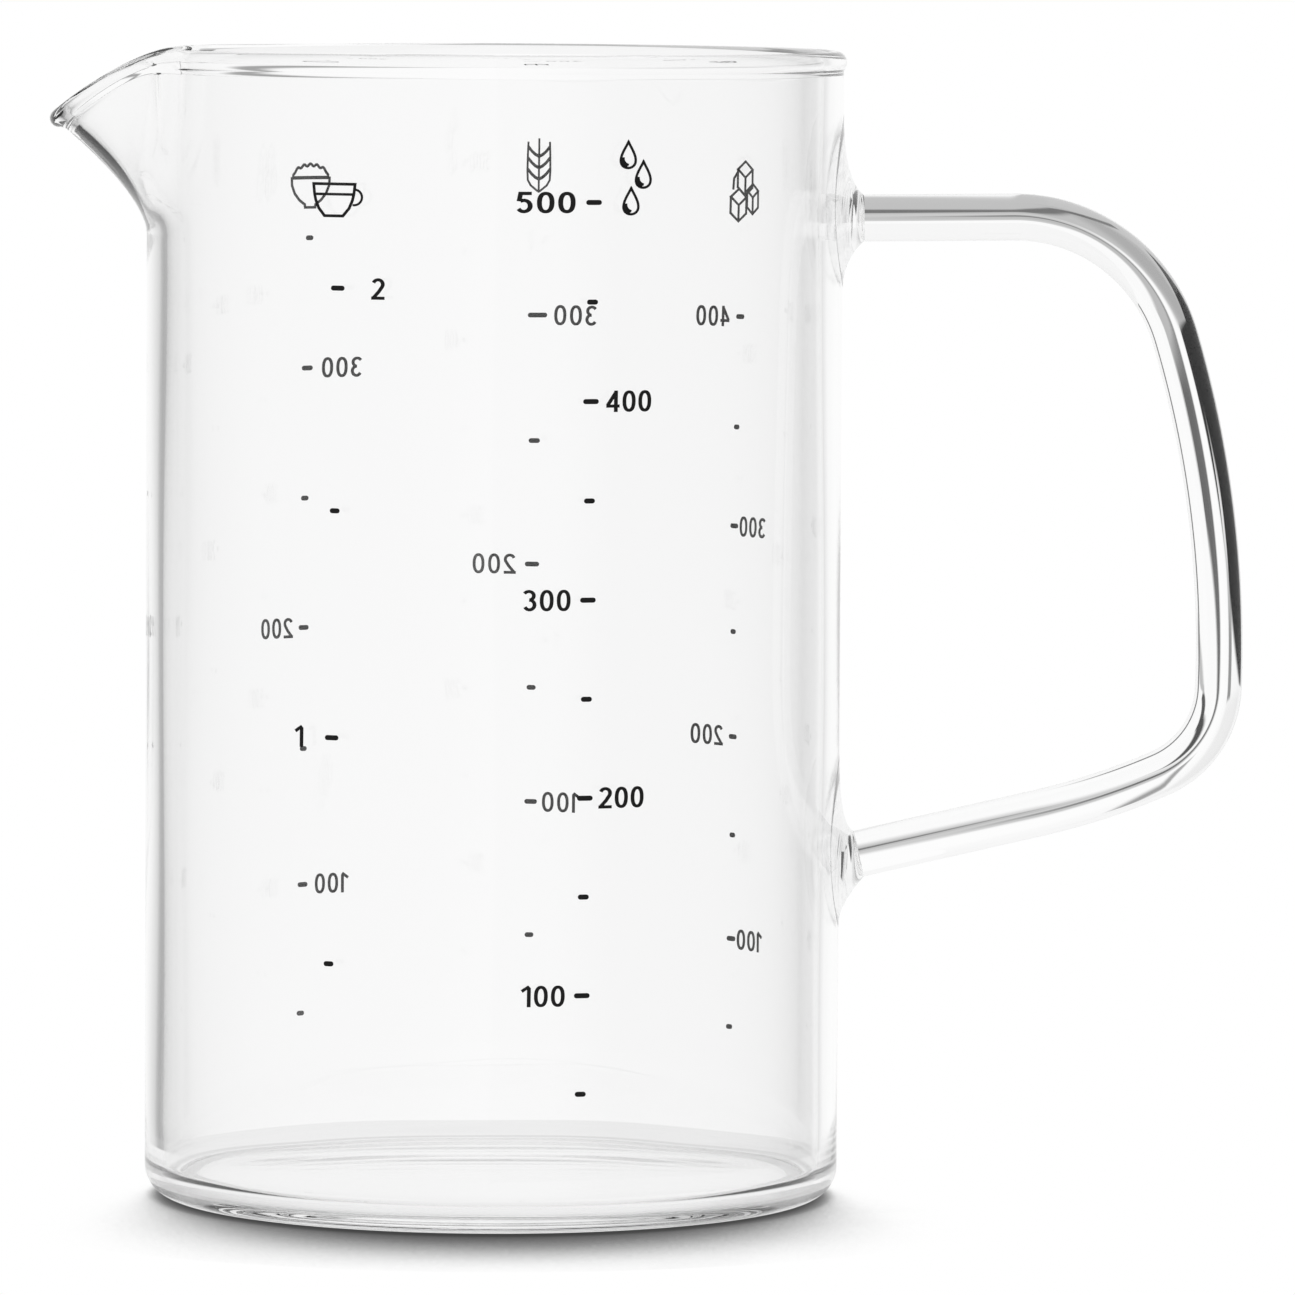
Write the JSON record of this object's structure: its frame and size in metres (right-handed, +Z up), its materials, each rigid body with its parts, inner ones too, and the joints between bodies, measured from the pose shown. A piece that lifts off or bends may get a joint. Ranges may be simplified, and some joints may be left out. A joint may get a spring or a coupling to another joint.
{
  "type": "measuring jug",
  "caption": "Tall glass measuring jug with a drawn spout, a bent glass rod for a handle and printed scales for volume and weight.",
  "frame": {"origin": "centre of the flat base, on the table", "axes": "+Z up along the tube, +X towards the handle, -X towards the spout, -Y towards the millilitre scale"},
  "size_m": [0.1375, 0.0806, 0.132],
  "materials": {
    "clear_glass": "fire-polished, clear and colourless",
    "black_enamel": "fired screen print, satin"
  },
  "bodies": {
    "root": {"glass_body": "clear_glass", "handle_rod": "clear_glass", "upper_weld": "clear_glass", "lower_weld": "clear_glass", "ml_scale": "black_enamel", "cup_scale": "black_enamel", "rice_scale": "black_enamel", "flour_scale": "black_enamel", "sugar_scale": "black_enamel"}
  },
  "joints": []
}
